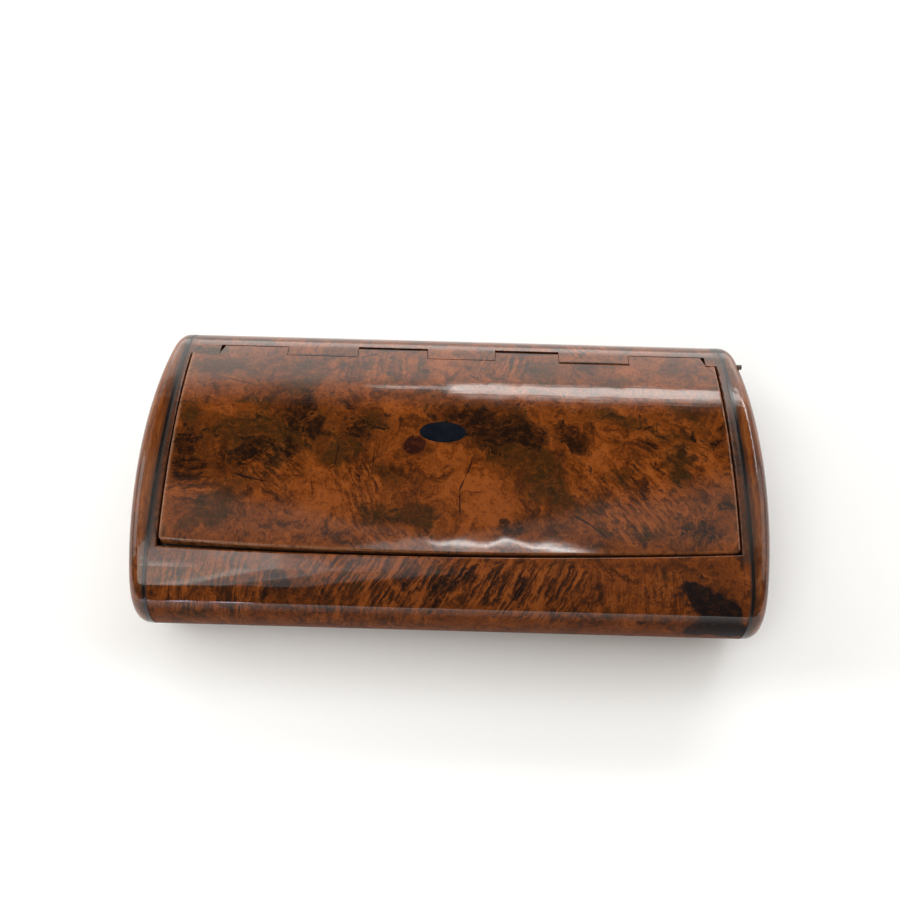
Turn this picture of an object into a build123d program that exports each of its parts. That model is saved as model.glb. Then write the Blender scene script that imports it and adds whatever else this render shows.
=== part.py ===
from build123d import *
from math import asin, atan2, cos, degrees, radians, sin, sqrt
import os

os.makedirs("parts", exist_ok=True)

# A pocket snuff box of burr wood: a short tube of flattened oval section, closed by a domed cap at
# each end, with a lid sawn out of its top that turns on a wooden knuckle hinge. Millimetres.
# X runs along the box, the front faces -Y, Z is up, and the origin is the middle of the flat
# that the box rests on.

# Barrel
barrel_length = 83.6
barrel_width = 48.0
crown_rise = 9.8
shoulder_radius = 7.4
base_flat = 0.6
wall = 3.0

# Ebony stringing and end caps
stringing = 0.45
cap_depth = 4.5
cap_plan_crown = 2.7
cap_face_crown = 1.8
cap_round = 2.0
spigot_length = 2.0
glue_gap = 0.03

# Lid and the two-step opening it drops into
right_strip = 1.1
left_strip_front = 1.15
left_strip_back = 0.75
front_setback_left = 2.85
front_setback_middle = 2.4
front_setback_right = 3.75
lid_plate = 1.8
ledge = 1.5
hinge_ledge = 2.0
lid_front_gap_left = 0.45
lid_front_gap_middle = 0.4
lid_front_gap_right = 0.2
lid_left_gap_front = 0.4
lid_left_gap_back = 0.15
lid_right_gap = 0.2
seat_gap = 0.08
panel_gap = 0.3
lid_lift = 1.0
warp_reach = 52.0
lid_edge_round = 0.3
lid_corner_round = 0.6
rim_round = 0.25

# Hinge, cut in the thickness of lid and barrel: the knuckles were cut by eye, lid and barrel in turn
hinge_setback = 0.95
hinge_depth = 0.88
knuckle_reach = 0.9
lid_knuckle_gaps = (0.12, 0.42, 0.48, 0.12)
barrel_knuckle_gaps = (0.12, 0.12, 0.12, 0.34, 0.12)
knuckle_side_gap = 0.08
knuckle_corner = 0.6
left_block = 4.45
right_block = 1.6
knuckle_lengths = (10.6, 10.9, 10.9, 10.5, 10.0, 10.8, 12.0)

# Hinge pin
pin_diameter = 0.8
pin_fixed_gap = 0.02
pin_running_gap = 0.05
pin_tail = 3.0
pin_proud = 0.3

# Oval inlay in the lid
inlay_x = -1.4
inlay_y = 2.4
inlay_length = 6.8
inlay_width = 3.5
inlay_depth = 0.9

# Foil lining
foil = 0.2
foil_margin = 0.4

# Section through the barrel: a crown arc above and below, run together by a shoulder arc each side
half_length = barrel_length / 2
half_width = barrel_width / 2
widest = crown_rise - base_flat
crown_radius = (half_width**2 + crown_rise**2 - 2 * half_width * shoulder_radius) / (
    2 * (crown_rise - shoulder_radius)
)
crown_centre = widest + crown_rise - crown_radius
shoulder_centre = half_width - shoulder_radius
crown_lean = degrees(atan2(shoulder_centre, crown_radius - crown_rise))
shoulder_line = crown_radius * sin(radians(crown_lean))
clear_of_box = 10.0


def oval(inset):
    """The section inset from the barrel's outside, as a face across X = 0."""
    crown = crown_radius - inset
    shoulder = shoulder_radius - inset
    shoulder_sweep = 180 - 2 * crown_lean
    top = CenterArc((0, crown_centre), crown, 90 - crown_lean, 2 * crown_lean)
    front = CenterArc((-shoulder_centre, widest), shoulder, 90 + crown_lean, shoulder_sweep)
    bottom = CenterArc((0, 2 * widest - crown_centre), crown, 270 - crown_lean, 2 * crown_lean)
    back = CenterArc((shoulder_centre, widest), shoulder, crown_lean - 90, shoulder_sweep)
    return Plane.YZ * make_face([top, front, bottom, back])


def along(face, start, end):
    """A face across X = 0 drawn out into a solid from start to end."""
    return extrude(Pos(start, 0, 0) * face, amount=end - start, dir=(1, 0, 0))


def rubbed_flat(solid):
    """The same solid with the underside taken down to the flat it rests on."""
    below = Box(
        2 * (half_length + clear_of_box),
        2 * (half_width + clear_of_box),
        clear_of_box,
        align=(Align.CENTER, Align.CENTER, Align.MAX),
    )
    return solid - below


def on_crown(depth, angle):
    """A point below the crown's surface, at an angle from upright that grows to the back."""
    reach = crown_radius - depth
    return (reach * sin(radians(angle)), crown_centre + reach * cos(radians(angle)))


def crown_angle(y):
    """The angle at which the crown's surface stands over y."""
    return degrees(asin(y / crown_radius))


def layer(top, bottom, front, back):
    """A strip of the crown between two depths and two angles, as a face across X = 0."""
    outer = CenterArc((0, crown_centre), crown_radius - top, 90 - back, back - front)
    inner = CenterArc((0, crown_centre), crown_radius - bottom, 90 - back, back - front)
    front_edge = Line(on_crown(top, front), on_crown(bottom, front))
    back_edge = Line(on_crown(top, back), on_crown(bottom, back))
    return Plane.YZ * make_face([outer, front_edge, inner, back_edge])


# Places that the barrel and the lid share. The opening was sawn by eye: its front edge bows outwards
# and runs back at the right, and its left edge leans out towards the hinge.
opening_left = -half_length + left_strip_back
opening_front_left = -half_length + left_strip_front
opening_right = half_length - right_strip
rim_left = front_setback_left - shoulder_line
rim_middle = front_setback_middle - shoulder_line
rim_right = front_setback_right - shoulder_line
rim_angle = crown_angle(rim_right)
hinge_angle = crown_angle(shoulder_line - hinge_setback)
hinge_y, hinge_z = on_crown(hinge_depth, hinge_angle)
hinge_axis = Axis((0, hinge_y, hinge_z), (-1, 0, 0))
knuckle_radius = sqrt(knuckle_reach**2 + hinge_depth**2)


def turned_along(distance):
    """The angle that a distance along the crown's surface covers."""
    return degrees(distance / crown_radius)


well_front = rim_angle + turned_along(ledge)
well_back = hinge_angle - turned_along(hinge_ledge)
well_left = opening_front_left + ledge
well_right = opening_right - ledge

# Knuckle cuts along the hinge
hinge_run = opening_right - opening_left - left_block - right_block
knuckle_stretch = hinge_run / sum(knuckle_lengths)
cuts = [opening_left + left_block]
for length in knuckle_lengths:
    cuts.append(cuts[-1] + length * knuckle_stretch)
lid_spans = [(cuts[i], cuts[i + 1]) for i in range(0, len(knuckle_lengths), 2)]
barrel_spans = [(cuts[i], cuts[i + 1]) for i in range(1, len(knuckle_lengths), 2)]
barrel_spans = [(-half_length, cuts[0])] + barrel_spans + [(cuts[-1], half_length)]


def rod(radius, start, end):
    """A round bar on the hinge axis from start to end."""
    return along(Pos(0, hinge_y, hinge_z) * (Plane.YZ * Circle(radius)), start, end)


# Pin: driven in from the right, blind in the left end block
cap_start = half_length + stringing
cap_apex = cap_start + cap_depth
pin_left = opening_left + left_block - pin_tail


def warp(x):
    """Degrees that the dried-out lid has lifted about its hinge at x."""
    lid_reach = hinge_y - rim_left
    share = max(0.0, 1 - (x - opening_left) / warp_reach)
    return degrees(asin(lid_lift / lid_reach)) * share**2


def warped(face, start, end):
    """A strip of the lid from start to end, lifted at its left as the whole lid is."""
    stations = 9
    sections = []
    for i in range(stations):
        x = start + (end - start) * i / (stations - 1)
        sections.append((Pos(x, 0, 0) * face).rotate(hinge_axis, warp(x)))
    return loft(sections)


def sawn(corners, middle_y):
    """An upright bar with the sawn outline: back left, front left, front right and back right."""
    back_left, front_left, front_right, back_right = corners
    front = ThreePointArc(front_left, (0, middle_y), front_right)
    ends = Polyline(front_right, back_right, back_left, front_left)
    return extrude(make_face([front, ends]), amount=2 * crown_rise + clear_of_box)


def borders_lid(edge):
    """Whether an edge of the shell is the opening's front or end edge on the outside."""
    middle = edge.position_at(0.5)
    radius = sqrt(middle.Y**2 + (middle.Z - crown_centre) ** 2)
    outside = abs(radius - crown_radius) < seat_gap and middle.Z > widest
    across = middle.Y < 0 and edge.length > half_length
    at_end = well_right < abs(middle.X) < half_length - seat_gap and edge.length > shoulder_radius
    return outside and (across or at_end)


# Barrel shell, with the opening for the lid in two steps and its own knuckles left standing
shell = along(oval(0), -half_length, half_length) - along(oval(wall), -half_length, half_length)
slot_floor = lid_plate + seat_gap
past_rim = crown_angle(-shoulder_line)
back_line = shoulder_line + hinge_setback
opening = [
    (opening_left, back_line),
    (opening_front_left, rim_left),
    (opening_right, rim_right),
    (opening_right, back_line),
]
slot = along(layer(-clear_of_box, slot_floor, past_rim, hinge_angle), opening_left, opening_right)
slot &= sawn(opening, rim_middle)
for start, end in barrel_spans:
    slot -= rod(knuckle_radius, start, end)
well = along(layer(-clear_of_box, crown_rise, well_front, well_back), well_left, well_right)
shell -= slot
shell -= well
rim = [edge for edge in shell.edges() if borders_lid(edge)]
shell = fillet(rim, rim_round)
for gap, (start, end) in zip(lid_knuckle_gaps, lid_spans):
    shell -= rod(knuckle_radius + gap, start, end)
fixed_bore = pin_diameter / 2 + pin_fixed_gap
shell -= rod(fixed_bore, pin_left, half_length)
barrel_shell = rubbed_flat(shell)

# Lid: an outer plate that ends in its knuckles, and a raised panel below that drops into the well
lid_left = opening_left + lid_left_gap_back
lid_front_left = opening_front_left + lid_left_gap_front
lid_right = opening_right - lid_right_gap
lid_outline = [
    (lid_left, back_line),
    (lid_front_left, rim_left + lid_front_gap_left),
    (lid_right, rim_right + lid_front_gap_right),
    (lid_right, back_line),
]
knuckle_face = Pos(0, hinge_y, hinge_z) * (Plane.YZ * Circle(knuckle_radius)) & oval(0)
plate = warped(layer(0, lid_plate, past_rim, hinge_angle) + knuckle_face, lid_left, lid_right)
plate &= sawn(lid_outline, rim_middle + lid_front_gap_middle)

front_face = plate.faces().sort_by(Axis.Y)[0]
plate = fillet([e for e in front_face.edges() if e.length < 2 * lid_plate], lid_corner_round)
top_face = plate.faces().sort_by(SortBy.AREA)[-1]
plate = fillet([e for e in top_face.edges() if e.center().Y < hinge_y], lid_edge_round)
panel_front = well_front + turned_along(panel_gap)
panel_back = well_back - turned_along(panel_gap)
panel_left = well_left + panel_gap
panel_right = well_right - panel_gap
panel = warped(layer(lid_plate / 2, wall, panel_front, panel_back), panel_left, panel_right)
inlay_floor = on_crown(inlay_depth, crown_angle(inlay_y))[1]


def inlay_bar(gap):
    """The upright oval bar that the inlay and its pocket are cut with."""
    outline = Ellipse(inlay_length / 2 + gap, inlay_width / 2 + gap)
    return extrude(Pos(inlay_x, inlay_y, inlay_floor - gap) * outline, amount=clear_of_box)


def corner_cut(side, end):
    """The slanted cut that takes the far corner off an end knuckle; side points into the knuckle."""
    outside = end - side * knuckle_corner
    slant_end = end + side * knuckle_corner
    near = hinge_y - knuckle_reach
    far = hinge_y + knuckle_reach
    beyond = far + knuckle_reach
    outline = [(outside, near), (end, near), (slant_end, far), (slant_end, beyond), (outside, beyond)]
    return extrude(make_face(Polyline(outline, close=True)), amount=2 * crown_rise)


lid = plate + panel
for gap, (start, end) in zip(barrel_knuckle_gaps, barrel_spans):
    lid -= rod(knuckle_radius + gap, start - knuckle_side_gap, end + knuckle_side_gap)
for side, end in ((1, cuts[0]), (-1, cuts[-1])):
    lid -= corner_cut(side, end)
lid -= rod(pin_diameter / 2 + pin_running_gap, lid_left, lid_right)
lid_panel = lid - inlay_bar(glue_gap)
oval_inlay = plate & inlay_bar(0)

# Stringing: an ebony leaf on each end of the barrel, cut through for the cap's spigot
leaf = along(oval(0), half_length, cap_start) - along(oval(wall), half_length, cap_start)
left_stringing = rubbed_flat(mirror(leaf, Plane.YZ))
right_stringing = rubbed_flat(leaf - rod(fixed_bore, half_length, cap_start))

# End caps: an oval block crowned in plan and in height, rounded all round, on a spigot
plan_radius = (half_width**2 + cap_plan_crown**2) / (2 * cap_plan_crown)
face_radius = (crown_rise**2 + cap_face_crown**2) / (2 * cap_face_crown)
blank_half_height = crown_rise + cap_depth
blank_low = widest - blank_half_height
blank_high = widest + blank_half_height
blank_back = cap_start - cap_depth
blank_edge = cap_apex - face_radius + sqrt(face_radius**2 - blank_half_height**2)
cap_profile = Plane.XZ * make_face(
    [
        ThreePointArc((blank_edge, blank_low), (cap_apex, widest), (blank_edge, blank_high)),
        Line((blank_edge, blank_high), (blank_back, blank_high)),
        Line((blank_back, blank_high), (blank_back, blank_low)),
        Line((blank_back, blank_low), (blank_edge, blank_low)),
    ]
)
crowned = revolve(cap_profile, Axis((cap_apex - plan_radius, 0, 0), (0, 0, 1)), 360)
cap_block = along(oval(0), cap_start, cap_apex) & crowned
crowned_face = cap_block.faces().sort_by(Axis.X)[-1]
cap_block = fillet(crowned_face.edges(), cap_round)
spigot_end = half_length - spigot_length
cap = cap_block + along(oval(wall + glue_gap), spigot_end, cap_start)
left_end_cap = rubbed_flat(mirror(cap, Plane.YZ))
right_end_cap = rubbed_flat(cap - rod(fixed_bore, spigot_end, cap_apex))

# Pin: out through the right cap's rounded edge, where its end was left standing proud
pin_exit = (cap_block & rod(pin_diameter / 2, cap_start, cap_apex)).bounding_box().max.X
hinge_pin = rod(pin_diameter / 2, pin_left + pin_fixed_gap, pin_exit + pin_proud)

# Lining: thin foil pasted on the bore, on both spigots and under the lid
foil_face = wall + glue_gap
end_foil_face = spigot_end - glue_gap
lining_end = end_foil_face - foil - glue_gap
mouth_front = well_front - turned_along(foil_margin)
mouth_back = well_back + turned_along(foil_margin)
lining = along(oval(foil_face), -lining_end, lining_end)
lining -= along(oval(foil_face + foil), -lining_end, lining_end)
lining -= along(layer(0, crown_rise, mouth_front, mouth_back), -lining_end, lining_end)
barrel_lining = lining
right_end_lining = along(oval(foil_face), end_foil_face - foil, end_foil_face)
left_end_lining = mirror(right_end_lining, Plane.YZ)
lid_foil = layer(
    foil_face,
    foil_face + foil,
    panel_front + turned_along(foil_margin),
    panel_back - turned_along(foil_margin),
)
lid_lining = warped(lid_foil, panel_left + foil_margin, panel_right - foil_margin)

nodes = {
    "barrel_shell": barrel_shell,
    "left_stringing": left_stringing,
    "right_stringing": right_stringing,
    "left_end_cap": left_end_cap,
    "right_end_cap": right_end_cap,
    "hinge_pin": hinge_pin,
    "lid_panel": lid_panel,
    "oval_inlay": oval_inlay,
    "barrel_lining": barrel_lining,
    "left_end_lining": left_end_lining,
    "right_end_lining": right_end_lining,
    "lid_lining": lid_lining,
}
for name, node in nodes.items():
    export_step(node, f"parts/{name}.step")
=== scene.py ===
import math
import bpy
from mathutils import Matrix, Vector

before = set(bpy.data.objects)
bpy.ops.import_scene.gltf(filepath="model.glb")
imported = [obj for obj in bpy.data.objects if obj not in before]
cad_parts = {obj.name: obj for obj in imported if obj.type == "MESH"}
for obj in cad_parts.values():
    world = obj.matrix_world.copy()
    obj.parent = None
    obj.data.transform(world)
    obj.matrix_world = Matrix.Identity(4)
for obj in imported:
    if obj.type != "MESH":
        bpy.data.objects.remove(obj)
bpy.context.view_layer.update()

# Barrel: a short tube of flattened oval section, turned and scraped from one block of burr wood and
# bored from its ends. The lid is sawn out of its top, so lid and barrel share one figure. It is
# French polished, and the polish lies a little uneven and has worn along the edges.

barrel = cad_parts["barrel_shell"]
crown_radius = 66.0
crown_centre = -47.0
shoulder_radius = 7.4
shoulder_reach = 16.6
shoulder_height = 9.2
crown_turn = math.asin(18.7 / crown_radius)
crown_run = crown_radius * crown_turn

# How deep a spot goes into the wood, and how far a streak is drawn out that way
spot_depth = 5.0
streak_depth = 3.0


def on_barrel(x, run):
    """The point at x, and at run millimetres round the section from the top, and the slope there."""
    side = math.copysign(1.0, run)
    past = abs(run) - crown_run
    if past <= 0:
        slope = abs(run) / crown_radius
        y = crown_radius * math.sin(slope)
        z = crown_centre + crown_radius * math.cos(slope)
    else:
        slope = crown_turn + past / shoulder_radius
        y = shoulder_reach + shoulder_radius * math.sin(slope)
        z = shoulder_height + shoulder_radius * math.cos(slope)
    return Vector((x, side * y, z)), -side * slope


class Tone:
    """A value, colour or place over a surface. Sums add Math nodes, and node() adds any other."""

    def __init__(self, tree, output=None):
        self.tree = tree
        self.output = output

    def node(self, kind, settings=None, inputs=None, output=0):
        """A node of any kind: its settings first, then its sockets' values or links."""
        made = self.tree.nodes.new(kind)
        for name, value in (settings or {}).items():
            if name == "stops":
                ramp = made.color_ramp.elements
                ramp[0].position = value[0][0]
                ramp[1].position = value[-1][0]
                for stop in value[1:-1]:
                    ramp.new(stop[0])
                for element, stop in zip(ramp, value):
                    element.color = (*stop[1], 1.0)
            else:
                setattr(made, name, value)
        for name, value in (inputs or {}).items():
            if isinstance(value, Tone):
                self.tree.links.new(value.output, made.inputs[name])
            else:
                made.inputs[name].default_value = value
        return None if output is None else Tone(self.tree, made.outputs[output])

    def math(self, operation, *others):
        """A Math node on this value and any others."""
        return self.node("ShaderNodeMath", {"operation": operation}, dict(enumerate((self, *others))))

    def __add__(self, other):
        return self.math("ADD", other)

    __radd__ = __add__

    def __sub__(self, other):
        return self.math("SUBTRACT", other)

    def __rsub__(self, other):
        return self.node("ShaderNodeMath", {"operation": "SUBTRACT"}, {0: other, 1: self})

    def __mul__(self, other):
        return self.math("MULTIPLY", other)

    __rmul__ = __mul__

    def stepped(self, low, high):
        """0 below low and 1 above high, with a soft step between them."""
        levels = {"Value": self, "From Min": low, "From Max": high}
        return self.node("ShaderNodeMapRange", {"interpolation_type": "SMOOTHSTEP"}, levels)

    def mixed(self, first, second):
        """The first colour where this is 0, the second where it is 1."""
        return self.node("ShaderNodeMix", {"data_type": "RGBA"}, {0: self, 6: first, 7: second}, 2)

    def moved(self, way, amount):
        """This place, moved along a noise's colour taken as a direction."""
        settled = self.node("ShaderNodeVectorMath", {"operation": "SUBTRACT"}, {0: way, 1: (0.5, 0.5, 0.5)})
        reach = self.node("ShaderNodeVectorMath", {"operation": "SCALE"}, {0: settled, "Scale": amount})
        return self.node("ShaderNodeVectorMath", {"operation": "ADD"}, {0: self, 1: reach})

    def stretched(self, x, y, z):
        """This place, with each axis drawn out or pressed together."""
        return self.node("ShaderNodeVectorMath", {"operation": "MULTIPLY"}, {0: self, 1: (x, y, z)})

    def noise(self, scale, detail=3.0, rough=0.55, swirl=0.0, output="Fac"):
        """Cloudy noise with so many clouds to the millimetre."""
        levels = {"Vector": self, "Scale": scale, "Detail": detail, "Roughness": rough, "Distortion": swirl}
        return self.node("ShaderNodeTexNoise", {}, levels, output)

    def axis(self, name):
        """The x, y or z of this place."""
        return self.node("ShaderNodeSeparateXYZ", {}, {0: self}, "xyz".index(name))

    def laid(self, x, run, turn, size):
        """This place counted from a point of the barrel's skin, turned to lie along it, in sizes."""
        point, slope = on_barrel(x, run)
        lie = Matrix.Rotation(slope, 3, "X") @ Matrix.Rotation(math.radians(turn), 3, "Z")
        return self.node(
            "ShaderNodeMapping",
            {"vector_type": "TEXTURE"},
            {"Vector": self, "Location": point, "Rotation": lie.to_euler(), "Scale": size},
        )

    def spot(self, x, run, length, width, turn):
        """1 at a point of the barrel's skin, down to 0 at the edge of a spindle about it."""
        inside = self.laid(x, run, turn, (length / 2, width / 2, spot_depth))
        return self.node("ShaderNodeTexGradient", {"gradient_type": "SPHERICAL"}, {"Vector": inside}, "Fac")

    def spots(self, rows, reach=(-99.0, 99.0)):
        """The sum of spots, each row giving x, run, length, width, turn and strength."""
        total = 0.0
        for x, run, length, width, turn, strength in rows:
            if reach[0] <= run <= reach[1]:
                spot = self.spot(x, run, length, width, turn)
                total = spot.math("MULTIPLY_ADD", strength, total)
        return total


def blank(name):
    """A new material and the place of each point of it, in millimetres."""
    material = bpy.data.materials.new(name)
    material.use_nodes = True
    material.node_tree.nodes.clear()
    start = Tone(material.node_tree)
    point = start.node("ShaderNodeTexCoord", output="Object")
    place = start.node("ShaderNodeVectorMath", {"operation": "SCALE"}, {0: point, "Scale": 1000.0})
    return material, place


bare_shine = 0.06


def finished(place, colour, roughness, height, sockets, bare=None):
    """The surface itself: colour, roughness, a height in millimetres and the plain numbers.

    Where bare is 1 the polish is gone and hardly anything shines.
    """
    relief = place.node("ShaderNodeBump", {}, {"Distance": 0.001, "Height": height}, "Normal")
    levels = {"Base Color": colour, "Roughness": roughness, "Normal": relief}
    levels.update(sockets)
    shader = place.node("ShaderNodeBsdfPrincipled", {}, levels)
    if bare is not None:
        levels["Specular IOR Level"] = bare_shine
        dull = place.node("ShaderNodeBsdfPrincipled", {}, levels)
        shader = place.node("ShaderNodeMixShader", {}, {0: bare, 1: shader, 2: dull})
    place.node("ShaderNodeOutputMaterial", {}, {"Surface": shader}, None)


def wear(obj, material):
    """Puts a finish on a piece in place of the one it came with."""
    obj.data.materials.clear()
    obj.data.materials.append(material)


# The figure, placed one by one: x, run round the section, length, width, turn and strength of a spot
olive_clouds = [
    (-27.0, 1.0, 36.0, 20.0, 0, 0.75), (-34.0, -9.0, 16.0, 12.0, 0, 0.25), (10.5, 0.0, 18.0, 16.0, 0, 0.3),
    (-30.0, 14.0, 26.0, 12.0, 0, 0.35), (-8.0, -11.5, 22.0, 6.0, -8, 0.25), (31.0, -1.0, 20, 14, -30, 0.2),
    (3.0, 7.0, 26.0, 6.0, -6, 0.4), (36.5, 4.0, 9.0, 12.0, 0, 0.3), (33.0, -11.0, 16.0, 7.0, 0, 0.3),
    (-30.5, 7.6, 4.2, 2.0, 20, 0.9), (-27.7, 7.2, 2.6, 4.2, 0, 0.9), (-29.5, 1.6, 12, 4.4, -6, 0.9),
    (-39.3, 5.0, 4.5, 9.0, 10, 0.7), (-33.0, -10.6, 9.0, 7.5, 20, 1.0), (-37.4, -13.2, 4.5, 2.6, 10, 0.7),
    (-15.8, -1.6, 8.0, 5.0, 20, 0.8), (-12.2, 4.2, 6.5, 9.0, -20, 0.9), (-10.4, -11.4, 8.0, 4.4, -20, 0.9),
    (-4.6, -11.2, 8.5, 4.6, -18, 0.9), (-8.8, -5.2, 6.0, 6.5, 0, 0.7), (9.4, 5.2, 5.0, 7.0, 10, 0.8),
    (12.6, -3.6, 8.0, 9.5, 10, 1.0), (14.8, -6.2, 6.5, 6.5, 10, 0.9), (24.8, -3.4, 4.5, 5.5, -30, 0.8),
    (23.5, 6.2, 12.0, 4.0, -8, 0.7), (33.4, 2.8, 5.5, 3.0, 0, 0.8), (34.6, 7.4, 7.5, 2.8, -15, 0.8),
    (33.2, -1.6, 8.0, 5.0, -35, 0.8), (32.8, -4.2, 5.5, 6.0, 0, 0.7), (22.2, -11.4, 4.5, 3.0, -30, 0.8),
    (27.3, -12.2, 7.0, 3.2, 0, 0.7), (20.6, -8.3, 4.5, 5.0, 0, 0.7), (17.0, -8.2, 4.4, 3.6, -30, 0.8),
    (-35.6, 13.8, 12.0, 6.0, 15, 0.75), (-22.4, 10.8, 9.0, 5.0, 0, 0.9), (-23.0, 15.4, 6.5, 5.0, 0, 0.8),
    (-38.2, 17.8, 7.0, 3.4, 0, 1.2), (-13.8, 14.6, 4.0, 5.5, 0, 0.6), (-10.0, 13.4, 2.6, 8.5, 0, 0.7),
    (-5.0, 14.8, 3.0, 8.0, 0, 0.7), (2.6, 15.8, 4.0, 6.5, 0, 0.5), (13.8, 14.8, 11.0, 7.0, 0, 0.7),
    (24.0, 12.6, 8.0, 4.0, 0, 0.6), (34.5, 16.2, 6.0, 4.0, 20, 0.7), (38.0, 20.0, 9.0, 5.0, 0, 0.8),
    (-18.0, 17.0, 7.0, 3.0, 0, 0.7), (-33.0, 20.5, 12.0, 4.0, 0, 0.6), (-18.0, 21.0, 8.0, 3.4, 0, 0.6),
    (29.6, -19.0, 5.0, 3.4, 0, 0.7), (-33.0, -21.0, 12.0, 3.4, 8, 0.6), (-12.4, -21.0, 5.0, 5.0, 0, 0.6),
    (22.5, -24.5, 6.0, 3.0, 0, 0.7), (14.5, -17.6, 7.0, 3.0, 20, 0.6), (-36.0, -26.5, 9.0, 4.0, 0, 0.6),
    (7.0, 0.4, 16.0, 10.0, -12, 0.6), (30.0, 3.5, 16.0, 7.0, -20, 0.35),
]
dark_clouds = [
    (-23.0, 6.2, 7.5, 8.5, 10, 1.0), (-38.9, -1.2, 5.0, 8.0, 0, 1.0), (-33.0, -2.6, 3.2, 8.0, 5, 0.8),
    (-28.6, -2.6, 7.5, 6.0, -30, 1.0), (-37.6, -5.6, 9.0, 5.0, 10, 1.1), (-28.3, -8.0, 3.4, 2.6, 0, 0.7),
    (-24.6, -8.2, 5.5, 1.8, -12, 0.8), (-23.2, -2.8, 7.0, 1.8, -42, 0.8), (-22.9, -0.6, 4.0, 3.2, -20, 0.8),
    (-30.0, 1.0, 26.0, 14.0, 0, 0.15), (-37.0, -1.0, 9.0, 15.0, 0, 0.3), (6.0, 3.5, 24.0, 10.0, -8, 0.3),
    (-12.0, 2.0, 9.0, 12.0, 0, 0.3), (12.0, -18.8, 26.0, 4.0, 6, 0.35), (35.0, -18.0, 12.0, 7.0, 0, 0.35),
    (-22.6, 4.5, 10.0, 12.0, 0, 0.35), (8.0, 8.0, 16.0, 3.0, 0, 0.3), (22.0, -13.0, 34.0, 4.0, 0, 0.2),
    (37.0, -10.0, 9.0, 12.0, 0, 0.3), (3.0, -19.5, 12.0, 6.0, 40, 0.3),
    (-19.5, 2.6, 4.2, 4.2, 0, 0.8), (-15.0, 2.4, 6.0, 6.5, 0, 0.8), (-15.5, 6.6, 4.0, 2.6, 0, 0.7),
    (-18.0, -6.2, 2.8, 1.8, -20, 0.6), (-7.0, -5.0, 1.8, 3.4, 0, 0.8), (-4.2, -4.7, 2.0, 2.4, 0, 0.7),
    (-12.8, -5.2, 2.0, 5.0, -30, 0.6), (4.0, 4.4, 15.0, 6.5, -8, 1.0), (8.0, 2.2, 9.0, 5.0, -8, 0.8),
    (11.2, 2.0, 6.0, 6.0, 0, 0.9), (8.4, -11.4, 6.5, 5.0, 10, 1.0), (11.6, -9.2, 4.0, 5.0, 0, 0.7),
    (17.4, 2.8, 8.0, 5.5, -35, 1.1), (27.4, -6.8, 1.8, 6.0, 30, 0.7), (28.7, 1.5, 4.5, 2.4, -45, 0.9),
    (35.3, 3.0, 2.2, 3.4, 0, 0.9), (39.2, 2.0, 4.6, 3.6, -30, 1.0), (40.2, 5.0, 2.4, 5.0, 0, 0.8),
    (35.2, -7.2, 2.6, 4.0, 20, 0.7), (39.6, -7.4, 4.0, 5.0, 0, 0.8), (34.8, -12.4, 9.0, 6.0, 0, 0.7),
    (15.2, -11.8, 5.0, 3.6, -10, 0.8), (29.3, -2.5, 2.0, 2.0, 0, 0.7), (29.0, 4.4, 2.4, 2.6, 0, 0.6),
    (-23.4, -21.9, 5.5, 4.0, 45, 1.0), (-16.6, -23.8, 5.0, 2.2, 0, 0.8), (-17.2, -20.9, 2.4, 2.0, 0, 0.8),
    (0.2, -19.9, 12.0, 4.6, 25, 1.2), (-5.5, -20.6, 3.0, 5.0, -20, 0.9), (9.5, -20.5, 5.0, 6.0, -25, 0.9),
    (27.4, -25.6, 4.0, 1.6, 0, 0.8), (16.0, -21.5, 3.0, 5.5, -25, 0.7), (-1.8, -23.6, 2.4, 4.6, -20, 0.7),
    (-30.6, -25.4, 3.0, 4.0, -25, 0.6), (-14.0, -26.0, 2.0, 5.0, -15, 0.6), (-7.4, -26.2, 2.2, 2.6, 0, 0.7),
    (6.4, 0.6, 14.0, 7.5, -14, 0.6), (18.0, 1.4, 8.0, 6.0, -40, 0.4),
]
ink_patches = [
    (35.2, -21.6, 7.5, 3.4, -14, 1.4), (37.6, -23.4, 8.0, 7.0, -30, 1.6), (39.4, -25.6, 6.5, 8.0, 0, 1.5),
    (33.0, -21.3, 4.6, 1.8, 10, 0.9), (36.2, -26.4, 7.5, 4.4, 0, 1.2), (37.6, -24.0, 10.0, 9.0, 0, 0.5),
]
clear_wood = [
    (3.5, -8.5, 15.0, 11.0, -10, 1.2), (-18.0, -9.5, 12.0, 9.0, -15, 0.9), (30.0, -4.5, 9.0, 5.0, -40, 0.6),
    (-19.5, -4.0, 10.0, 5.0, -50, 0.7), (1.0, -0.8, 10.0, 4.0, -20, 0.5), (22.0, -1.0, 9.0, 8.0, -40, 0.6),
    (37.0, -3.0, 5.0, 8.0, 0, 0.5),
    (-9.5, 7.0, 6.0, 5.0, 0, 0.6), (-33.0, 5.6, 9.0, 4.0, -10, 0.6), (27.0, 3.0, 8.0, 4.0, 0, 0.5),
    (-1.5, 14.5, 5.0, 7.0, 0, 0.7), (27.0, 15.5, 9.0, 4.0, 10, 0.7), (-36.0, -8.4, 7.0, 2.0, 8, 0.9),
]
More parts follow.
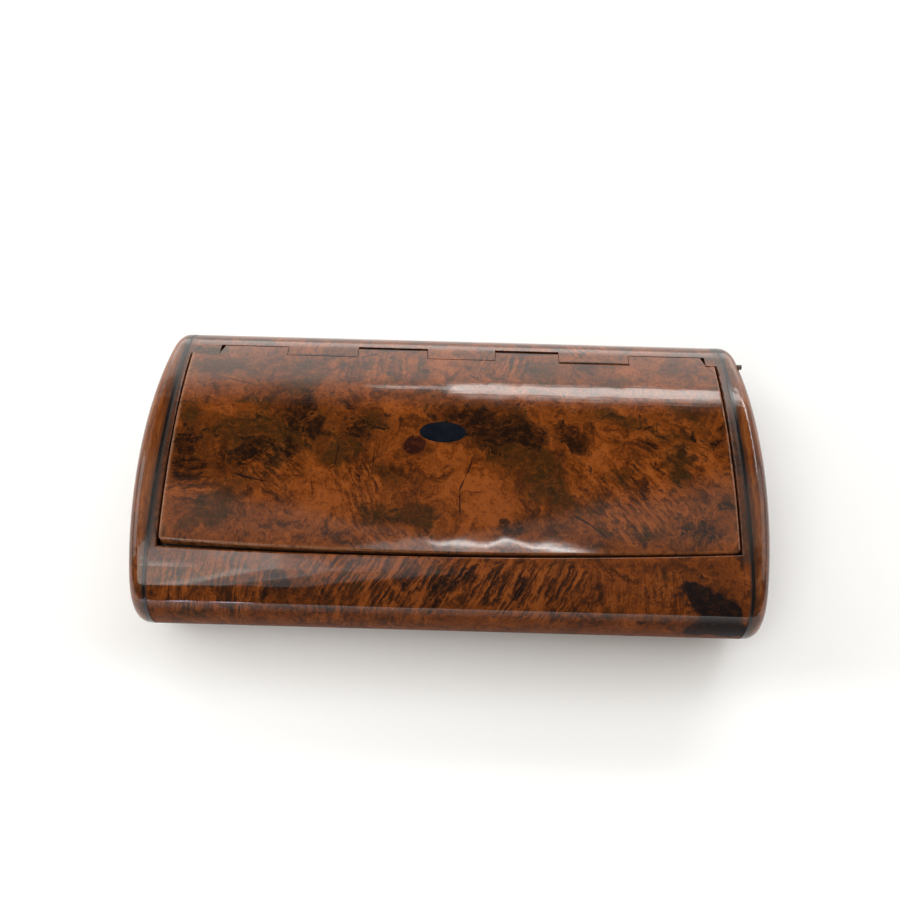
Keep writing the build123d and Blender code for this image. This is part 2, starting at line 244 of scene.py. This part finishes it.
eyes = [
    (-20.7, 4.9, 2.8, 1.6, 0, 0.9), (-14.7, 4.2, 2.2, 2.0, 20, 0.9), (-28.2, 4.9, 2.0, 1.3, 0, 1.0),
    (-5.0, -4.9, 1.6, 1.4, 0, 0.8), (-17.3, 2.3, 1.6, 1.6, 0, 0.9), (-17.2, -20.8, 1.8, 1.6, 0, 0.9),
    (-33.9, -10.7, 1.8, 1.4, 0, 0.6), (-13.5, -9.4, 0.9, 1.6, 20, 1.0), (-14.0, -11.5, 0.8, 0.9, 0, 1.0),
    (35.9, -8.6, 1.2, 1.6, 30, 0.9), (11.7, -8.9, 1.4, 1.8, 20, 0.7), (15.0, -12.2, 2.2, 1.2, -30, 0.7),
    (19.8, 2.4, 1.4, 1.2, 0, 0.5), (27.8, 3.4, 1.2, 1.2, 0, 0.5), (34.6, -12.9, 1.2, 1.6, 0, 0.7),
    (17.6, -5.6, 1.0, 1.4, 0, 0.6), (-22.0, 12.1, 1.2, 1.6, 0, 0.5), (-23.9, 11.6, 1.0, 1.4, 0, 0.5),
]


def crack(x0, run0, x1, run1, width, strength):
    """A split or scratch as a spot row: a long thin spindle from one point to another."""
    reach = math.hypot(x1 - x0, run1 - run0)
    turn = math.degrees(math.atan2(run1 - run0, x1 - x0))
    return ((x0 + x1) / 2, (run0 + run1) / 2, reach * 1.15, width, turn, strength)


cracks = [
    crack(-15.4, 18.85, -4.0, 18.85, 0.7, 1.3), crack(6.0, 18.85, 16.6, 18.85, 0.8, 1.3),
    crack(16.6, 17.15, 27.4, 17.15, 0.5, 1.0), crack(-26.4, 17.15, -15.0, 17.15, 0.6, 0.9),
    crack(3.3, -1.2, 1.8, -5.6, 0.34, 0.9), crack(1.9, -5.2, 1.1, -7.2, 0.4, 1.0),
    crack(1.2, -6.9, 1.4, -11.3, 0.34, 1.0), crack(-31.4, -5.2, -27.4, -6.4, 0.5, 1.0),
    crack(-28.2, -6.0, -25.8, -6.6, 0.36, 0.9), crack(-16.3, 1.0, -16.8, -4.8, 0.26, 0.7),
    crack(-11.2, 0.6, -11.3, -5.4, 0.24, 0.7), crack(-11.3, -4.8, -10.2, -7.4, 0.24, 0.6),
    crack(16.8, -9.8, 20.2, -11.8, 0.5, 0.9), crack(19.6, -11.4, 22.6, -13.8, 0.5, 0.9),
    crack(26.4, -6.0, 28.4, -8.2, 0.4, 0.8), crack(1.6, -7.0, 5.6, -7.2, 0.24, 0.6),
    crack(2.2, 13.6, 3.6, 12.7, 0.5, 1.0), crack(-37.4, 12.2, -28.0, 9.6, 0.4, 0.6),
    crack(20.4, -3.0, 23.4, -0.8, 0.26, 0.4), crack(9.8, 7.4, 16.6, 6.0, 0.3, 0.3),
]


# Feathered figure: x, run, length and width of a group of streaks, the way they run, and the
# width, length and strength of one streak
feathers = [
    (-4.0, -20.0, 42.0, 11.0, 57, 0.55, 5.0, 1.8), (12.0, -21.5, 22.0, 11.0, 64, 0.5, 4.0, 1.7),
    (-33.0, -21.5, 24.0, 14.0, 78, 0.45, 4.0, 1.4), (27.0, -22.0, 20.0, 12.0, 94, 0.6, 4.0, 0.7),
    (-12.0, -25.5, 30.0, 8.0, 82, 0.5, 4.0, 0.9), (8.0, 15.6, 11.0, 8.0, 73, 0.7, 7.0, 1.5),
    (20.0, 20.6, 13.0, 5.0, -62, 0.5, 4.0, 1.3), (7.0, 20.6, 9.0, 5.0, -50, 0.45, 3.0, 1.0),
    (-12.0, 14.5, 22.0, 10.0, 88, 0.9, 6.0, 0.7), (26.0, -7.0, 18.0, 15.0, -52, 0.6, 3.5, 1.0),
    (-13.5, -7.5, 10.0, 14.0, -68, 0.5, 3.0, 1.1), (-26.0, -4.0, 12.0, 9.0, -38, 0.5, 3.0, 1.0),
    (34.5, -12.0, 12.0, 8.0, 80, 0.8, 3.0, 0.5), (-37.0, -7.0, 9.0, 10.0, 6, 0.6, 4.0, 1.0),
    (-10.0, -13.5, 16.0, 5.0, -42, 0.7, 4.0, 0.9), (33.0, 1.0, 16.0, 12.0, -30, 0.6, 2.5, 0.8),
    (-24.0, 19.8, 28.0, 7.0, 80, 0.6, 4.0, 0.6),
]
knots = [(-5.4, 0.0, 5.6, 4.4, 40, 1.0), (-5.6, 0.1, 3.6, 5.0, 0, 0.35)]

# The ground's colours from its darkest to its palest wood, those of what lies in and on it, and painted
# shade
ground_stops = [
    (0.0, (0.032, 0.0102, 0.0034)), (0.35, (0.084, 0.0215, 0.0042)),
    (0.7, (0.166, 0.0400, 0.0060)), (1.0, (0.246, 0.0625, 0.0110)),
]
pepper_colour = (0.030, 0.0110, 0.0045, 1.0)
olive_colour = (0.0225, 0.0128, 0.0036, 1.0)
dark_colour = (0.0110, 0.0044, 0.0024, 1.0)
ink_colour = (0.0055, 0.0045, 0.0050, 1.0)
knot_colour = (0.017, 0.0052, 0.0042, 1.0)
ring_colour = (0.19, 0.052, 0.009, 1.0)
core_colour = (0.022, 0.007, 0.005, 1.0)
split_colour = (0.012, 0.005, 0.004, 1.0)
worn_colour = (0.30, 0.125, 0.05, 1.0)
dirt_and_shade_colour = (0.0150, 0.0098, 0.0072, 1.0)

# The polish gives out between these distances in front of the middle, where fingers hold the box
bare_from = 22.7
bare_to = 23.5


def burr(name, reach, worn, skin):
    """Burr wood, French polished, over the part of the section that reach gives.

    worn and skin are the functions that say where it is rubbed and where dirt and painted shade lie on it.
    """
    material, place = blank(name)
    swirl = place.noise(0.17, 2.0, 0.5, 0.0, "Color")
    ripple = place.noise(0.62, 3.0, 0.55, 0.0, "Color")
    near = place.moved(swirl, 6.0).moved(ripple, 2.6)
    close = place.moved(ripple, 0.9)

    curl = near.noise(0.26, 4.0, 0.6, 0.8)
    fine = near.noise(0.85, 3.0, 0.6, 0.9)
    strand = (place.moved(swirl, 9.0).moved(ripple, 2.0).noise(0.34, 2.0, 0.45, 0.6) - 0.5).math("ABSOLUTE")
    strand = (1 - strand.stepped(0.0, 0.06)) * fine.stepped(0.36, 0.6)
    hair = close.stretched(1.6, 0.8, 1.6).noise(2.2, 2.0, 0.6)
    streaks = 0.0
    for x, run, length, width, turn, broad, long, strength in feathers:
        if reach[0] <= run <= reach[1]:
            combed = close.laid(x, run, turn, (long, broad, streak_depth))
            feather = combed.noise(0.8, 4.0, 0.7, 0.5) - 0.5
            group = near.spot(x, run, length, width, 0).stepped(0.0, 0.5)
            streaks = (feather * group).math("MULTIPLY_ADD", strength, streaks)

    clear = near.spots(clear_wood, reach)
    ground = curl * 0.56 + fine * 0.3 + hair * 0.16 - streaks * 0.6 + clear * 0.11
    ground = ground.stepped(0.335, 0.635)
    colour = ground.node("ShaderNodeValToRGB", {"stops": ground_stops}, {"Fac": ground}, "Color")

    ragged = (curl - 0.5) * 2.6 + (fine - 0.5) * 1.5 + streaks * 2.0 - strand * 0.45
    olive = (near.spots(olive_clouds, reach) * 1.6).math("MINIMUM", 0.95)
    fleck = close.stretched(0.8, 1.0, 1.0).noise(1.25, 3.0, 0.7, 0.25)
    light_fleck = fleck.stepped(0.46, 0.66)
    pepper = (1 - fleck.stepped(0.32, 0.44)) * 0.5
    colour = pepper.mixed(colour, pepper_colour)
    olive = (olive - clear * 0.7 + ragged).stepped(-0.05, 1.15) * (0.90 - light_fleck * 0.34)
    colour = olive.mixed(colour, olive_colour)
    dark = (near.spots(dark_clouds, reach) * 1.6).math("MINIMUM", 1.1)
    dark = (dark - clear * 0.5 + ragged).stepped(0.05, 1.2) * (0.95 - light_fleck * 0.34)
    colour = dark.mixed(colour, dark_colour)
    ink = (near.spots(ink_patches, reach) + ragged * 0.5).stepped(0.0, 0.65) * (0.97 - light_fleck * 0.12)
    colour = ink.mixed(colour, ink_colour)
    knot = close.spots(knots, reach)
    knot = (knot + ragged * 0.16).stepped(0.26, 0.52) * (0.94 - light_fleck * 0.2)
    colour = knot.mixed(colour, knot_colour)

    eye = close.spots(eyes, reach) * 0.9 + ragged * 0.3
    ring = eye.stepped(0.12, 0.4) - eye.stepped(0.4, 0.7)
    colour = (ring * 0.38).mixed(colour, ring_colour)
    core = eye.stepped(0.5, 0.9) * 0.7
    colour = core.mixed(colour, core_colour)

    split = place.moved(ripple, 0.35).spots(cracks, reach).stepped(0.1, 0.5)
    colour = (split * 0.85).mixed(colour, split_colour)

    rubbed = worn(place, fine)
    colour = (rubbed * 0.7).mixed(colour, worn_colour)
    # Dirt on the end strips and seams, and painted shade darkening the sawn gaps as if in their shadow
    dirt_and_shade = skin(place, fine)
    colour = dirt_and_shade.mixed(colour, dirt_and_shade_colour)

    smear = place.noise(0.09, 4.0, 0.6)
    y = place.axis("y")
    held = (-1 * y).stepped(bare_from, bare_to)
    roughness = 0.035 + smear * 0.05 + rubbed * 0.2 + dirt_and_shade * 0.35 + held * 0.4
    uneven = place.noise(0.05, 1.0, 0.35) * 0.17 + place.noise(0.3, 2.0, 0.5) * 0.002
    rubs = place.stretched(0.05, 1.7, 1.0).noise(1.2, 3.0, 0.62) * (y.stepped(-8.0, 10.0) * 0.0030 + 0.0009)
    finished(place, colour, roughness, uneven + rubs + hair * 0.0006 - split * 0.0015, {
        "Specular IOR Level": 0.38,
    }, held)
    return material


def below_skin(place):
    """How far a point near the opening lies under the barrel's outer surface."""
    y, z = place.axis("y"), place.axis("z")
    lifted = z - crown_centre
    radius = (y * y + lifted * lifted).math("SQRT")
    return (crown_radius - radius) * z.stepped(11.0, 11.5) * (1 - y.math("ABSOLUTE").stepped(18.2, 18.6))


# The opening's front edge: the y of its middle, its lean and its bow
opening_front = (-16.3, 0.0111, 0.000543)


def past_line(x, y, middle, lean, bow):
    """How far a point lies behind a sawn front edge, which bows outwards."""
    return y - x * lean - x * x * bow - middle


def rim_worn(place, fine):
    """Wear along the left half of the sawn opening's front edge."""
    x, y = place.axis("x"), place.axis("y")
    front = 1 - (past_line(x, y, *opening_front) + 0.15).math("ABSOLUTE").stepped(0.05, 0.3)
    return front * (fine + 0.1).stepped(0.5, 0.8) * 0.4 * (1 - x.stepped(-12.0, 12.0))


def barrel_dirt_and_shade(place, fine):
    """Painted shade in the sawn opening, and dirt over the narrow strips at its ends and along the ebony.
    """
    x, y, z = place.axis("x"), place.axis("y"), place.axis("z")
    # Painted shade: the sawn faces under the outer surface are darkened as if in the gap's shadow
    inside = below_skin(place).stepped(0.15, 0.5) * (0.72 + fine * 0.3)
    patchy = (fine + 0.35).stepped(0.4, 0.8) * z.stepped(13.5, 14.5) * y.stepped(-17.2, -15.6)
    left = (-1 * x).stepped(40.3, 40.8) * 0.45 + (-1 * x).stepped(41.1, 41.7) * 0.5
    right = x.stepped(40.3, 40.8) * 0.55 + x.stepped(41.3, 41.75) * 0.35
    seam = x.math("ABSOLUTE").stepped(41.45, 41.75) * (fine + 0.2).stepped(0.35, 0.75) * 0.8
    return inside.math("MAXIMUM", (left + right) * patchy).math("MAXIMUM", seam)


wear(barrel, burr("burr_wood", (-99.0, 99.0), rim_worn, barrel_dirt_and_shade))


# Lid: the piece sawn out of the barrel's top, so its figure runs on from the barrel's. Its edges
# have been handled bare of polish, and its front left corner has warped upwards.

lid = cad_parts["lid_panel"]
lid_left = -40.25
lid_left_lean = 0.0185
lid_right = 40.5
lid_corner = -15.4
lid_front = (-15.9, 0.0081, 0.000506)


def lid_worn(place, fine):
    """Wear along the lid's left, right and front edges."""
    x, y = place.axis("x"), place.axis("y")
    left = 1 - (x + (y - lid_corner) * lid_left_lean - lid_left).stepped(0.15, 0.7)
    right = 1 - (lid_right - x).stepped(0.1, 0.4)
    front = 1 - past_line(x, y, *lid_front).stepped(0.1, 0.45)
    front = front * (1 - x.stepped(-20.0, 0.0) * 0.6)
    edge = left.math("MAXIMUM", right).math("MAXIMUM", front)
    return edge * (fine + 0.1).stepped(0.4, 0.7)


def lid_painted_shade(place, fine):
    """Painted shade on the lid's sawn sides and its underside."""
    return below_skin(place).stepped(0.3, 0.8) * (0.72 + fine * 0.3)


wear(lid, burr("burr_wood_lid", (-17.0, 19.0), lid_worn, lid_painted_shade))


# Stringing: a leaf of ebony glued between barrel and cap at each end, cut flush and polished over.
# It shows as a thin black line round each end.

ebony, place = blank("ebony")
fibre = place.stretched(1.0, 0.25, 0.25).noise(2.2, 4.0, 0.6)
colour = fibre.stepped(0.45, 0.8).mixed((0.0075, 0.006, 0.006, 1.0), (0.028, 0.017, 0.012, 1.0))
finished(place, colour, 0.12 + fibre * 0.1, fibre * 0.004, {"Specular IOR Level": 0.42})
for name in ("left_stringing", "right_stringing"):
    wear(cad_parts[name], ebony)


# End caps: domed blocks of a plainer, straight-grained wood, on spigots that plug the barrel. The
# grain runs from front to back, and dirt has gathered along the seam.

cap_wood, place = blank("cap_wood")
drift = place.noise(0.12, 3.0, 0.6, 0.0, "Color")
grain_place = place.moved(drift, 2.0)
band = grain_place.stretched(1.0, 0.05, 0.7).noise(0.9, 4.0, 0.6, 0.3)
fibre = grain_place.stretched(1.0, 0.045, 1.0).noise(4.5, 4.0, 0.65)
cloud = place.noise(0.16, 3.0, 0.6)
ground = (band * 0.6 + fibre * 0.25 + cloud * 0.3).stepped(0.38, 0.78)
stops = [
    (0.0, (0.050, 0.014, 0.005)), (0.4, (0.135, 0.036, 0.008)),
    (0.75, (0.225, 0.064, 0.014)), (1.0, (0.32, 0.110, 0.032)),
]
colour = ground.node("ShaderNodeValToRGB", {"stops": stops}, {"Fac": ground}, "Color")
out = place.axis("x").math("ABSOLUTE")
seam = 1 - out.stepped(42.3, 43.3)
colour = (seam * (0.35 + cloud * 0.6)).mixed(colour, (0.035, 0.014, 0.007, 1.0))
pores = (1 - fibre.stepped(0.32, 0.44)) * 0.5
colour = pores.mixed(colour, (0.03, 0.011, 0.006, 1.0))
finished(place, colour, 0.05 + cloud * 0.07, fibre * 0.003 + cloud * 0.1, {"Specular IOR Level": 0.42})
for name in ("left_end_cap", "right_end_cap"):
    wear(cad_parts[name], cap_wood)


# Hinge pin: a thin iron wire through all the knuckles, driven in from the right end. What shows of
# it has gone dark.

pin_wire, place = blank("pin_wire")
bloom = place.noise(1.8, 4.0, 0.65)
drawn = place.stretched(0.1, 1.0, 1.0).noise(9.0, 2.0, 0.5)
colour = bloom.stepped(0.35, 0.7).mixed((0.030, 0.022, 0.018, 1.0), (0.20, 0.17, 0.145, 1.0))
finished(place, colour, 0.35 + bloom * 0.3, bloom * 0.01 + drawn * 0.004, {"Metallic": 0.9})
wear(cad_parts["hinge_pin"], pin_wire)


# Oval inlay: a slip of blue-black horn let into the middle of the lid and polished level with it.

dark_inlay, place = blank("dark_inlay")
cloud = place.noise(0.6, 4.0, 0.6, 0.5)
colour = cloud.stepped(0.35, 0.75).mixed((0.0032, 0.0046, 0.0082, 1.0), (0.0060, 0.0080, 0.0125, 1.0))
finished(place, colour, 0.09 + cloud * 0.08, cloud * 0.006, {"Specular IOR Level": 0.4})
wear(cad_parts["oval_inlay"], dark_inlay)


# Lining: thin lead foil pasted round the well, on the caps' inner faces and under the lid, to keep
# the snuff dry. It is dull and creased, with patches of brown dust.

foil, place = blank("foil")
fine = place.noise(1.6, 4.0, 0.6)
ridge = 0.0
for drawn_out, scale, keep in (((0.35, 1.0, 1.0), 0.16, 0.50), ((1.0, 0.4, 0.4), 0.13, 0.54)):
    spread = place.stretched(*drawn_out)
    fold = (spread.noise(scale, 1.0, 0.3, 0.15) - 0.5).math("ABSOLUTE")
    kept = spread.noise(0.22, 2.0, 0.5).stepped(keep, keep + 0.1)
    ridge = (1 - fold.stepped(0.0, 0.022)) * kept + ridge
puckered = place.noise(0.7, 3.0, 0.6)
dust = (place.noise(0.14, 4.0, 0.65) * 0.7 + fine * 0.3).stepped(0.5, 0.68)
colour = fine.stepped(0.3, 0.75).mixed((0.33, 0.325, 0.31, 1.0), (0.50, 0.49, 0.47, 1.0))
colour = (dust * 0.7).mixed(colour, (0.10, 0.055, 0.028, 1.0))
creased = ridge * 0.07 + puckered * 0.07 + fine * 0.012
finished(place, colour, 0.42 + dust * 0.35, creased, {"Metallic": 0.85})
for name in ("barrel_lining", "left_end_lining", "right_end_lining", "lid_lining"):
    wear(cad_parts[name], foil)


# The table: a plain white sheet under the box, smooth enough to show only the box's shadow. Away
# from the box, in front of it and at its left, the camera and the polish see the sheet whiter than
# the lamps make it, but dull surfaces get no light from that whiteness.

table_mesh = bpy.data.meshes.new("table")
table_half = 1.6
white_left = 0.14
white_in_front = 0.15
corners = [(side * table_half, end * table_half, 0) for side, end in ((-1, -1), (1, -1), (1, 1), (-1, 1))]
table_mesh.from_pydata(corners, [], [(0, 1, 2, 3)])
table = bpy.data.objects.new("table", table_mesh)
bpy.context.collection.objects.link(table)
table_paper, place = blank("table_paper")
tooth = place.noise(0.05, 4.0, 0.6)
colour = tooth.mixed((0.90, 0.905, 0.91, 1.0), (0.93, 0.935, 0.94, 1.0))
x, y = place.axis("x"), place.axis("y")
kinds = ("Camera", "Glossy", "Transmission")
ray = [place.node("ShaderNodeLightPath", output=f"Is {kind} Ray") for kind in kinds]
away = (x * x + y * y).math("SQRT").stepped(110.0, 420.0)
at_left = 1 - x.stepped(-70.0, 25.0)
in_front = (-1 * y).stepped(24.5, 35.0)
# Painted light: this whitening lifts part of the box's shadow at its left and in front of it
lit = at_left * white_left + in_front * white_in_front + away
lit = lit * ray[0].math("MAXIMUM", ray[1]).math("MAXIMUM", ray[2])
glow = lit.mixed((0.0, 0.0, 0.0, 1.0), (0.95, 0.97, 1.0, 1.0))
finished(place, colour, 0.75, tooth * 0.02, {
    "Specular IOR Level": 0.1, "Emission Color": glow, "Emission Strength": 1.0,
})
wear(table, table_paper)


# The room: pale walls, a dim ceiling, a window behind and to the right, and lit panels overhead.
# Its brightness goes by the lean from upright in degrees, forward of the box below 0, behind above.
# It lights the box and is reflected in its polish, but the camera sees plain white in its place.

brightest = 5.0
world = bpy.data.worlds.new("room")
bpy.context.scene.world = world
world.use_nodes = True
world.node_tree.nodes.clear()
room = Tone(world.node_tree)
way = room.node("ShaderNodeTexCoord", output="Generated")
side, ahead, height = way.axis("x"), way.axis("y"), way.axis("z")
lean = ahead.math("ARCTAN2", height.math("MAXIMUM", 0.0001)) * (1 / math.pi) + 0.5
round_about = side.math("ARCTAN2", ahead).math("ABSOLUTE")
lean_stops = [(-90, 0.06), (-82, 0.10), (-36, 0.14), (-12, 0.16), (2, 0.18), (14, 0.12), (22, 0.03),
              (44, 0.03), (51, 0.9), (56, 2.6), (66, 3.0), (78, 4.2), (90, 3.8)]
stops = [
    ((angle + 90) / 180, [level / brightest * part for part in (1.0, 0.985, 0.955)])
    for angle, level in lean_stops
]
level = lean.node("ShaderNodeValToRGB", {"stops": stops}, {"Fac": lean}, "Color")
aside = round_about.stepped(0.55, 0.85) * ahead.stepped(-0.05, 0.05)
level = aside.mixed(level, (0.16, 0.155, 0.145, 1.0))
seen = room.node("ShaderNodeLightPath", output="Is Camera Ray")
light = room.node("ShaderNodeBackground", {}, {"Color": level, "Strength": brightest})
plain = room.node("ShaderNodeBackground", {}, {"Color": (1.0, 1.0, 1.0, 1.0), "Strength": 1.0})
both = room.node("ShaderNodeMixShader", {}, {0: seen, 1: light, 2: plain})
room.node("ShaderNodeOutputWorld", {}, {"Surface": both}, None)


neutral = (1.0, 0.99, 0.965)
warm = (1.0, 0.965, 0.89)
sky_blue = (0.84, 0.93, 1.0)
violet = (0.86, 0.80, 1.0)


def panel(name, middle, width, depth, aim, brightness, spin=0.0, shape="RECTANGLE", tint=neutral):
    """A flat lamp of even brightness: its middle, its size, and the point that it faces."""
    lamp = bpy.data.lights.new(name, "AREA")
    lamp.color = tint
    lamp.shape = shape
    lamp.size = width
    lamp.size_y = depth
    area = width * depth if shape == "RECTANGLE" else width * depth * math.pi / 4
    lamp.energy = brightness * math.pi * area
    obj = bpy.data.objects.new(name, lamp)
    obj.location = middle
    turn = (Vector(middle) - Vector(aim)).to_track_quat("Z", "Y").to_matrix()
    obj.rotation_euler = (turn @ Matrix.Rotation(math.radians(spin), 3, "Z")).to_euler()
    bpy.context.collection.objects.link(obj)


# The window: its left and right panes, its sill and the end of its frame
panel("window", (0.10, 0.480, 0.391), 0.20, 0.040, (0.10, 0.0, 0.0), 11.0)
panel("window_right", (0.33, 0.480, 0.391), 0.26, 0.044, (0.33, 0.0, 0.0), 8.0)
panel("window_sill", (0.21, 0.461, 0.415), 0.40, 0.022, (0.21, 0.0, 0.0), 3.2)
panel("window_frame", (-0.028, 0.470, 0.380), 0.08, 0.010, (-0.028, 0.0, 0.0), 8.0, shape="ELLIPSE")
# Overhead: a long oval lamp with two bright edges, whose gleam lies along the lid's front
panel("ceiling_lamp", (0.018, -0.031, 0.62), 0.15, 0.028, (0.018, -0.031, 0.0), 3.2, shape="ELLIPSE")
panel("ceiling_edge", (0.028, -0.0165, 0.60), 0.068, 0.0042, (0.028, -0.0165, 0.0), 38.0)
panel("ceiling_tip", (0.083, -0.0250, 0.60), 0.048, 0.0042, (0.083, -0.0250, 0.0), 40.0, spin=-16.0)
# Overhead at the left: a wide panel that fades to the right, seen in the barrel's front
slant = -16.4
panel("ceiling_glow", (-0.10, -0.090, 0.62), 0.20, 0.050, (-0.10, -0.090, 0.0), 1.0, shape="ELLIPSE")
panel("ceiling_left", (-0.396, -0.427, 0.617), 0.35, 0.703, (-0.396, -0.427, 0.0), 3.8,
      spin=slant, tint=warm)
panel("ceiling_fade", (-0.196, -0.42, 0.612), 0.07, 0.66, (-0.196, -0.42, 0.0), 2.3, spin=slant)
panel("ceiling_fade_end", (-0.120, -0.40, 0.608), 0.08, 0.62, (-0.120, -0.40, 0.0), 1.0, spin=slant)
panel("ceiling_corner", (-0.200, -0.092, 0.610), 0.13, 0.080, (-0.200, -0.092, 0.0), 3.4)
# A second, bluer pane at the right, seen in the right cap
panel("right_pane", (0.345, 0.350, 0.40), 0.06, 0.32, (0.345, 0.350, 0.0), 12.0, tint=sky_blue)
# Four small pale violet lights low in front, seen as a broken line on the barrel
for name, x, width, height in (("a", -0.255, 0.011, 0.07), ("b", -0.230, 0.017, 0.025),
                               ("c", -0.201, 0.014, 0.035), ("d", -0.162, 0.042, 0.022)):
    panel("front_low_" + name, (x, -0.60, 0.018), width, height, (x, 0.0, 0.018), 12.0,
          shape="ELLIPSE", tint=violet)
# The lit side walls
panel("right_wall", (0.62, 0.10, 0.42), 0.40, 0.40, (0.0, 0.0, 0.0), 1.3)
panel("left_wall", (-0.66, 0.12, 0.40), 0.36, 0.36, (0.0, 0.0, 0.0), 2.4)


# The camera: a telephone held above the front of the box, looking down on it.

yaw, pitch, roll = -0.0061, 1.0589, 0.0221
forward = Vector((math.sin(yaw) * math.cos(pitch), math.cos(yaw) * math.cos(pitch), -math.sin(pitch)))
level_right = Vector((math.cos(yaw), -math.sin(yaw), 0.0))
level_up = level_right.cross(forward)
right = level_right * math.cos(roll) + level_up * math.sin(roll)
up = level_up * math.cos(roll) - level_right * math.sin(roll)
camera_place = (0.0001159, -0.0677638, 0.1388516)
lens = bpy.data.cameras.new("camera")
lens.sensor_width = 36.0
lens.lens = 38.0
lens.clip_start = 0.005
camera = bpy.data.objects.new("camera", lens)
turned = Matrix((right, up, -forward)).transposed().to_4x4()
camera.matrix_world = Matrix.Translation(camera_place) @ turned
bpy.context.collection.objects.link(camera)
bpy.context.scene.camera = camera
bpy.context.scene.view_settings.view_transform = "Standard"
